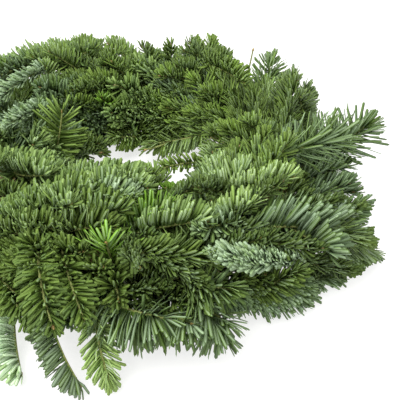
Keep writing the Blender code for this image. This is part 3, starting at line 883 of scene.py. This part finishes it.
def new_tree(name, inputs):
    """A Geometry Nodes tree with these named inputs: returns the tree and the sockets of its inputs by name."""
    tree = bpy.data.node_groups.new(name, "GeometryNodeTree")
    tree.interface.new_socket("Geometry", in_out="INPUT", socket_type="NodeSocketGeometry")
    tree.interface.new_socket("Geometry", in_out="OUTPUT", socket_type="NodeSocketGeometry")
    for key, kind in inputs:
        tree.interface.new_socket(key, in_out="INPUT", socket_type="NodeSocket" + kind)
    given = add_node(tree, "NodeGroupInput")
    return tree, {socket.name: socket for socket in given.outputs if socket.name}


def soft_curves(tree, guide, step):
    """The lines of a guide as soft curves, with their points at even steps."""
    lines = add_node(tree, "GeometryNodeMeshToCurve", {}, {"Mesh": guide})
    soft = add_node(tree, "GeometryNodeCurveSplineType", {"spline_type": "CATMULL_ROM"}, {"Curve": lines})
    return add_node(tree, "GeometryNodeResampleCurve", {"mode": "LENGTH"}, {"Curve": soft, "Length": step})


def rods_along(tree, curves, sides):
    """Round rods with closed ends along curves, as thick as the guide says."""
    thick = add_node(tree, "GeometryNodeInputNamedAttribute", {"data_type": "FLOAT"}, {"Name": "thick"})
    section = add_node(tree, "GeometryNodeCurvePrimitiveCircle", {}, {"Resolution": sides, "Radius": 1.0})
    drawn = {"Curve": curves, "Profile Curve": section, "Scale": thick, "Fill Caps": True}
    return add_node(tree, "GeometryNodeCurveToMesh", {}, drawn)


def rods_tree():
    """Rods along guide lines."""
    tree, given = new_tree("Rods along lines", (("Smooth step", "Float"), ("Sides", "Int"), ("Rod", "Material")))
    rods = rods_along(tree, soft_curves(tree, given["Geometry"], given["Smooth step"]), given["Sides"])
    real = add_node(tree, "GeometryNodeRealizeInstances", {}, {"Geometry": rods})
    finished = add_node(tree, "GeometryNodeSetMaterial", {}, {"Geometry": real, "Material": given["Rod"]})
    add_node(tree, "NodeGroupOutput", {}, {"Geometry": finished})
    return tree


def shoots_tree():
    """Twigs along guide lines with their bark, their buds and cut ends, and their needles."""
    inputs = [("Spacing", "Float"), ("Length", "Float"), ("Seed", "Int")]
    inputs += [(key, "Object") for key in (*NEEDLE_SHAPES, "Bud shape", "Cut shape")]
    inputs += [(key, "Material") for key in ("Needle", "Bark", "Bud", "Cut")]
    tree, given = new_tree("Needled shoots", inputs)
    node = partial(add_node, tree)
    maths, vectors, ranged = "ShaderNodeMath", "ShaderNodeVectorMath", "ShaderNodeMapRange"
    store, real, finish = "GeometryNodeStoreNamedAttribute", "GeometryNodeRealizeInstances", "GeometryNodeSetMaterial"
    words = ("ADD", "SUBTRACT", "MULTIPLY", "MULTIPLY_ADD", "GREATER_THAN", "SCALE", "NORMALIZE", "LENGTH")
    plus, minus, times, times_plus, more, scaled, unit, measured = ({"operation": word} for word in words)
    read = "GeometryNodeInputNamedAttribute"
    named = {key: node(read, {}, {"Name": key}) for key in (*HABIT_KEYS, "bare", "cut", "thick", "run", "left")}

    # The twigs, with the run from the foot and the run left to the tip
    curves = soft_curves(tree, given["Geometry"], TWIG_STEP)
    run = node("GeometryNodeSplineParameter").outputs["Length"]
    total = node("GeometryNodeSplineLength").outputs["Length"]
    for key, value in (("run", run), ("left", node(maths, minus, (total, run)))):
        curves = node(store, {}, {"Geometry": curves, "Name": key, "Value": value})
    parts = [node(finish, {}, {"Geometry": rods_along(tree, curves, TWIG_SIDES), "Material": given["Bark"]})]

    # A bud at each tip, and a pale face as wide as the twig at each cut end
    aimed = node("FunctionNodeAlignRotationToVector", {"axis": "Z"}, {"Vector": node("GeometryNodeInputTangent")})
    tips = node("GeometryNodeCurveEndpointSelection", {}, {"Start Size": 0, "End Size": 1})
    feet = node("GeometryNodeCurveEndpointSelection", {}, {"Start Size": 1, "End Size": 0})
    cuts = node(maths, times, (feet, named["cut"]))
    for key, places, size in (("Bud", tips, (1, 1, 1)), ("Cut", cuts, named["thick"])):
        model = node("GeometryNodeObjectInfo", {}, {"Object": given[f"{key} shape"]}).outputs["Geometry"]
        set_on = {"Points": curves, "Selection": places, "Instance": model, "Rotation": aimed, "Scale": size}
        copies = node(real, {}, {"Geometry": node("GeometryNodeInstanceOnPoints", {}, set_on)})
        parts.append(node(finish, {}, {"Geometry": copies, "Material": given[key]}))

    # The frame of each needle: the twig's direction, the side that it turns up, and the way across
    spots = node("GeometryNodeCurveToPoints", {"mode": "LENGTH"}, {"Curve": curves, "Length": given["Spacing"]})
    ahead = spots.outputs["Tangent"]
    wanted = node(read, {"data_type": "FLOAT_VECTOR"}, {"Name": "up"})
    shared = node(vectors, {"operation": "DOT_PRODUCT"}, (ahead, wanted)).outputs["Value"]
    along = node(vectors, scaled, (ahead, shared))
    up = node(vectors, unit, (node(vectors, minus, (wanted, along)),))
    across = node(vectors, {"operation": "CROSS_PRODUCT"}, (ahead, up))

    # Needles stand round the twig at the golden angle, and are swept towards its upper side
    chances = {}
    for place, (key, (low, high)) in enumerate(NEEDLE_CHANCES.items()):
        seed = node(maths, plus, (given["Seed"], place))
        chances[key] = node("FunctionNodeRandomValue", {"data_type": "FLOAT"}, {"Min": low, "Max": high, "Seed": seed})
    index = node("GeometryNodeInputIndex")
    angle = node(maths, times_plus, (index, GOLDEN_ANGLE, chances["turn"]))
    sine = node(maths, {"operation": "SINE"}, (angle,))
    cosine = node(maths, {"operation": "COSINE"}, (angle,))
    gathered = node(ranged, {}, (named["left"], *SWEEP_RANGE))
    swept = node(maths, more, (chances["sweep"], named["around"]))
    swept = node(maths, times, (swept, gathered))
    lift = node(maths, times, (named["lift"], swept))
    height = node(maths, times_plus, (cosine, named["fullness"], lift))
    wide = node(vectors, scaled, (across, sine))
    high = node(vectors, scaled, (up, height))
    radial = node(vectors, unit, (node(vectors, plus, (wide, high)),))

    # They lean further forward towards the tip, where they are shorter, as they are at the foot
    lean = node(ranged, {}, (named["left"], *LEAN_RANGE))
    full_spread = node(maths, {"operation": "RADIANS"}, (named["spread"],))
    spread = node(maths, times_plus, (lean, full_spread, chances["lean"]))
    out_part = node(vectors, scaled, (radial, node(maths, {"operation": "SINE"}, (spread,))))
    on_part = node(vectors, scaled, (ahead, node(maths, {"operation": "COSINE"}, (spread,))))
    towards = node(vectors, plus, (out_part, on_part))
    past = node(maths, minus, (named["run"], named["bare"]))
    reach = node(ranged, {}, (named["left"], *TIP_RANGE))
    at_foot = node(ranged, {}, (past, *FOOT_RANGE))
    for factor in (at_foot, chances["length"], named["long"], given["Length"]):
        reach = node(maths, times, (reach, factor))

    # A tip that would sink into the surface is raised to it, and the needle is shorter by as much
    foot = node("GeometryNodeInputPosition")
    tip = node(vectors, plus, (foot, node(vectors, scaled, (towards, reach))))
    tip = node(vectors, {"operation": "MAXIMUM"}, (tip, (NO_FLOOR, NO_FLOOR, NEEDLE_FLOOR)))
    raised = node(vectors, minus, (tip, foot))
    axis = node(vectors, unit, (raised,))
    room = node(vectors, measured, (raised,)).outputs["Value"]
    fitted = node(maths, {"operation": "DIVIDE"}, (room, given["Length"]))

    # A needle is left out by its habit's chance, on the bare foot, underneath, and where it has too little room
    least = node(maths, times, (reach, LEAST_ROOM))
    underneath = node(maths, times_plus, (swept, *UNDERNEATH))
    tests = [(named["kept"], chances["growth"]), (past, 0.0), (cosine, underneath), (room, least)]

    # It is left out in the straw and over the hole too, looked at part of the way along it and at its tip
    for part in LOOKED_AT:
        step = node(vectors, scaled, (axis, node(maths, times, (room, part))))
        point = node(vectors, plus, (foot, step))
        from_middle = node(vectors, minus, (point, (*RING_MIDDLE.xy, STRAW_HEIGHT)))
        flat = node(vectors, times, (from_middle, (1, 1, 0)))
        distance = node(vectors, measured, (flat,)).outputs["Value"]
        outer = node(maths, minus, (distance, RING_RADIUS))
        rise = node("ShaderNodeSeparateXYZ", {}, (from_middle,)).outputs["Z"]
        section = node("ShaderNodeCombineXYZ", {}, {"X": outer, "Z": rise})
        depth = node(vectors, measured, (section,)).outputs["Value"]
        tests += [(depth, STRAW_RADIUS), (distance, HOLE_RADIUS)]
    kept = 1.0
    for value, limit in tests:
        kept = node(maths, times, (kept, node(maths, more, (value, limit))))

    # Each needle turns its flat side up and forward, rolled a little, and differs at random from its twig in
    # lightness and tone. The twig's lightness is partly painted light and shade
    faced = node(vectors, plus, (node(vectors, scaled, (ahead, FACED_FORWARD)), up))
    axes = {"Primary Axis": axis, "Secondary Axis": faced}
    turned = node("FunctionNodeAxesToRotation", {"primary_axis": "Z", "secondary_axis": "X"}, axes)
    roll = node("FunctionNodeAxisAngleToRotation", {}, {"Axis": (0, 0, 1), "Angle": chances["roll"]})
    rolled = node("FunctionNodeRotateRotation", {"rotation_space": "LOCAL"}, {"Rotation": turned, "Rotate By": roll})
    size = node("ShaderNodeCombineXYZ", {}, {"X": 1.0, "Y": named["broad"], "Z": fitted})
    for key, change in (("light", times), ("tone", plus)):
        value = node(maths, change, (named[key], chances[key]))
        spots = node(store, {}, {"Geometry": spots, "Name": key, "Value": value})
    shapes = node("GeometryNodeJoinGeometry")
    for key in NEEDLE_SHAPES:
        model = node("GeometryNodeObjectInfo", {}, {"Object": given[key], "As Instance": True})
        tree.links.new(model.outputs["Geometry"], shapes.inputs["Geometry"])
    set_on = {"Points": spots, "Selection": kept, "Instance": shapes, "Rotation": rolled, "Scale": size}
    set_on |= {"Pick Instance": True, "Instance Index": index}
    needles = node(real, {}, {"Geometry": node("GeometryNodeInstanceOnPoints", {}, set_on)})
    joined = node("GeometryNodeJoinGeometry")
    for part in (node(finish, {}, {"Geometry": needles, "Material": given["Needle"]}), *parts):
        tree.links.new(part.outputs[0], joined.inputs["Geometry"])
    node("NodeGroupOutput", {}, {"Geometry": joined})
    return tree


def grown(name, mesh, tree, values):
    """A plain mesh object that a tree makes from a guide, with the modifier removed."""
    made = new_object(name, mesh)
    modifier = made.modifiers.new(tree.name, "NODES")
    modifier.node_group = tree
    for item in tree.interface.items_tree:
        if item.in_out == "INPUT" and item.name in values:
            modifier[item.identifier] = values[item.name]
    graph = bpy.context.evaluated_depsgraph_get()
    result = bpy.data.meshes.new_from_object(made.evaluated_get(graph))
    made.modifiers.clear()
    made.data = result
    bpy.data.meshes.remove(mesh)
    result.name = name
    return made


def placed(piece, nodes):
    """Ties a finished piece to the body, and hides the nodes that it stands for."""
    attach(piece, "root")
    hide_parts(*nodes)


def pressed(phi, psi):
    """How far the wire presses the straw in at a place: most under a turn, and nothing between two."""
    turn = (phi - psi / (2 * math.pi) * TURN_ANGLE) / TURN_ANGLE
    off = abs(turn - round(turn)) * TURN_ANGLE * RING_RADIUS
    return STRAW_DIP * math.exp(-((off / PRESSED_WIDTH) ** 2))


def straw_core(finish):
    """The body of the ring, quilted aslant by the wire and flat where it lies on the surface."""
    bm = bmesh.new()
    bmesh.ops.create_grid(bm, x_segments=CORE_STEPS, y_segments=CORE_SIDES, size=0.5)
    for vert in bm.verts:
        phi = (vert.co.x + 0.5) * 2 * math.pi
        psi = (vert.co.y + 0.5) * 2 * math.pi
        point = tube_point(phi, psi, STRAW_RADIUS - CORE_DEPTH - pressed(phi, psi))
        vert.co = Vector((point.x, point.y, max(point.z, CORE_FLOOR)))
    bmesh.ops.remove_doubles(bm, verts=bm.verts, dist=0.01 * MM)
    bmesh.ops.recalc_face_normals(bm, faces=bm.faces)
    mesh = new_mesh("straw_core", bm)
    mesh.attributes.new("tone", "FLOAT", "POINT").data.foreach_set("value", [CORE_TONE] * len(mesh.vertices))
    mesh.materials.append(finish)
    return mesh


def straw_stalks():
    """Lines of single stalks round the ring, each a little aslant, with ends that stand off the bundle."""
    chance = random.Random(SEED)
    lines, thick, tone = [], [], []
    for _ in range(STALKS):
        phi, psi = chance.uniform(0, 2 * math.pi), chance.uniform(0, 2 * math.pi)
        sweep, slant = chance.uniform(*STALK_SWEEPS), chance.uniform(*STALK_SLANTS)
        radius, shade = chance.uniform(*STALK_RADII) * MM, chance.random()
        proud = chance.uniform(0, LOOSE_HEIGHT) * MM
        line = []
        for step in range(STALK_STEPS + 1):
            share = step / STALK_STEPS
            a, b = phi + sweep * share, psi + slant * share
            rho = STRAW_RADIUS - pressed(a, b) + proud * max(0, share - LOOSE_FROM) / (1 - LOOSE_FROM)
            point = tube_point(a, b, rho)
            point.z = max(point.z, radius)
            line.append(point)
        lines.append(line)
        thick += [radius] * len(line)
        tone += [shade] * len(line)
    return guide_mesh("straw_stalks", lines, {"thick": thick, "tone": tone})


class WREATH_OT_straw_ring(bpy.types.Operator):
    """Make the ring of bound straw that the sprays are tied to"""

    bl_idname = "wreath.straw_ring"
    bl_label = "Straw Ring"

    def execute(self, context):
        finish = dry_straw(context.scene.wreath.colours)
        tree = rods_tree()
        values = {"Smooth step": STALK_SMOOTH, "Sides": STALK_SIDES, "Rod": finish}
        ring = grown("straw_bound_ring", straw_stalks(), tree, values)
        core = straw_core(finish)
        bm = bmesh.new()
        bm.from_mesh(ring.data)
        for face in bm.faces:
            face.smooth = len(face.verts) < 5
        bm.from_mesh(core)
        bm.to_mesh(ring.data)
        bm.free()
        bpy.data.meshes.remove(core)
        placed(ring, ["straw_ring"])
        return {"FINISHED"}


class WREATH_OT_binding_wire(bpy.types.Operator):
    """Wind the binding wire round the straw and over every stem"""

    bl_idname = "wreath.binding_wire"
    bl_label = "Binding Wire"

    def execute(self, context):
        over = set()
        for number in range(TURNS * SPRAYS_PER_TURN):
            turn, (tie, _, _) = tie_of(number)
            over.add(turn * STRAW_SIDES + round(math.radians(tie) / SIDE_ANGLE))
        line = []
        for step in range(TURNS * STRAW_SIDES + 1):
            rho = WIRE_CREST if step % (TURNS * STRAW_SIDES) in over else WIRE_SEAT
            point = tube_point(step / STRAW_SIDES * TURN_ANGLE, step * SIDE_ANGLE, rho)
            line.append(Vector((point.x, point.y, max(point.z, LOWEST_WIRE))))
        guide = guide_mesh("wire_line", [line], {"thick": [WIRE_RADIUS] * len(line)})
        finish = lacquered_wire(context.scene.wreath.colours)
        values = {"Smooth step": WIRE_SMOOTH, "Sides": WIRE_SIDES, "Rod": finish}
        wire = grown("lacquered_binding_wire", guide, rods_tree(), values)
        wire.data.shade_smooth()
        placed(wire, ["binding_wire"])
        return {"FINISHED"}


class WREATH_OT_sprays(bpy.types.Operator):
    """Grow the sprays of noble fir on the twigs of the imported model"""

    bl_idname = "wreath.sprays"
    bl_label = "Fir Sprays"

    def execute(self, context):
        sizes, colours = context.scene.wreath.needles, context.scene.wreath.colours
        shapes = {key: needle_shape(key, sizes, *bend) for key, bend in NEEDLE_SHAPES.items()}
        shapes |= {"Bud shape": bud_shape(), "Cut shape": cut_shape()}
        finishes = {"Needle": noble_fir_needle(colours), "Bark": young_bark(colours)}
        finishes |= {"Bud": resin_bud(), "Cut": cut_wood()}
        values = {"Spacing": sizes.spacing, "Length": sizes.length, **finishes, **shapes}
        tree = shoots_tree()
        for number in range(TURNS * SPRAYS_PER_TURN):
            twigs = twigs_of(number)
            keys = {key: sum((twig.values[key] for twig in twigs), []) for key in twigs[0].values}
            ups = [up for twig in twigs for up in twig.ups]
            guide = guide_mesh("twig_lines", [twig.points for twig in twigs], keys, ups)
            spray = grown(f"fir_spray_{number + 1:02d}", guide, tree, {**values, "Seed": number * 10})
            placed(spray, [f"spray_{number + 1:02d}"])
        for shape in shapes.values():
            bpy.data.objects.remove(shape)
        return {"FINISHED"}


# Where the middle of the ring, seen half way up, lies in a frame of 400 by 400 pixels, and the focal length in pixels
FRAME_PIXELS = 400
RING_SEEN_AT = (137, 150)
FOCAL_PIXELS = 555
SENSOR_WIDTH = 36
SEEN_HEIGHT = 47.5 * MM

# The floor and the soft box over it, in metres
FLOOR_HALF = 4
LAMP_SIZE = 1.2
LAMP_PLACE = (-0.5, -0.4, 1.4)


def add_camera(settings):
    """A camera without roll that sees the middle of the ring at its place in the frame."""
    data = bpy.data.cameras.new("camera")
    camera = new_object("camera", data)
    data.sensor_width = SENSOR_WIDTH
    data.lens = FOCAL_PIXELS / FRAME_PIXELS * data.sensor_width
    data.clip_start = 10 * MM
    down = settings.elevation
    away = Vector((0, -math.cos(down), math.sin(down))) * settings.distance
    camera.location = RING_MIDDLE + Vector((0, 0, SEEN_HEIGHT)) + away
    right = (RING_SEEN_AT[0] - FRAME_PIXELS / 2) / FOCAL_PIXELS
    above = (FRAME_PIXELS / 2 - RING_SEEN_AT[1]) / FOCAL_PIXELS
    ray = math.sqrt(1 + right**2 + above**2)
    pitch = math.asin(-ray * math.sin(down) / math.hypot(1, above)) - math.atan(above)
    yaw = math.atan2(right, math.cos(pitch) - above * math.sin(pitch))
    camera.rotation_euler = (math.pi / 2 + pitch, 0, yaw)
    bpy.context.scene.camera = camera


class WREATH_OT_stage(bpy.types.Operator):
    """Set the camera, the pale floor and the soft light"""

    bl_idname = "wreath.stage"
    bl_label = "Stage"

    def execute(self, context):
        settings = context.scene.wreath.stage
        add_camera(settings)
        # Painted board: white and matt, and bright enough of itself to stay pale under the wreath
        board, tree, shader = new_material("matt white board")
        glow = {"Emission Color": linear("#FFFFFF"), "Emission Strength": 0.7}
        set_inputs(tree, shader, {"Base Color": linear("#A0A09E"), "Roughness": 0.9, **glow})
        bm = bmesh.new()
        bmesh.ops.create_grid(bm, x_segments=1, y_segments=1, size=FLOOR_HALF)
        floor = new_object("floor", new_mesh("floor", bm, False))
        floor.data.materials.append(board)
        world = bpy.data.worlds.new("white surround")
        world.use_nodes = True
        background = world.node_tree.nodes["Background"]
        background.inputs["Color"].default_value = (1, 1, 1, 1)
        background.inputs["Strength"].default_value = settings.sky
        context.scene.world = world
        data = bpy.data.lights.new("soft box", "AREA")
        data.energy = settings.key_power
        data.size = LAMP_SIZE
        lamp = new_object("soft box", data)
        lamp.location = LAMP_PLACE
        lamp.rotation_euler = (-lamp.location).to_track_quat("-Z", "Y").to_euler()
        context.scene.view_settings.view_transform = "Standard"
        return {"FINISHED"}


class WREATH_PT_panel(bpy.types.Panel):
    """The wreath's settings and the buttons that make its pieces"""

    bl_label = "Noble Fir Wreath"
    bl_space_type = "VIEW_3D"
    bl_region_type = "UI"
    bl_category = "Wreath"

    def draw(self, context):
        settings = context.scene.wreath
        for group in (settings.needles, settings.colours, settings.stage):
            box = self.layout.box()
            for key in group.__annotations__:
                box.prop(group, key)
        for operator in OPERATORS:
            self.layout.operator(operator.bl_idname)


OPERATORS = (WREATH_OT_stage, WREATH_OT_straw_ring, WREATH_OT_binding_wire, WREATH_OT_sprays)
CLASSES = (NeedleSettings, ColourSettings, StageSettings, WreathSettings, *OPERATORS, WREATH_PT_panel)


def register():
    for item in CLASSES:
        bpy.utils.register_class(item)
    bpy.types.Scene.wreath = bpy.props.PointerProperty(type=WreathSettings)


def unregister():
    del bpy.types.Scene.wreath
    for item in reversed(CLASSES):
        bpy.utils.unregister_class(item)


def main():
    register()
    bpy.ops.wreath.stage()
    bpy.ops.wreath.straw_ring()
    bpy.ops.wreath.binding_wire()
    bpy.ops.wreath.sprays()
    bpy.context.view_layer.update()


if __name__ == "__main__":
    main()
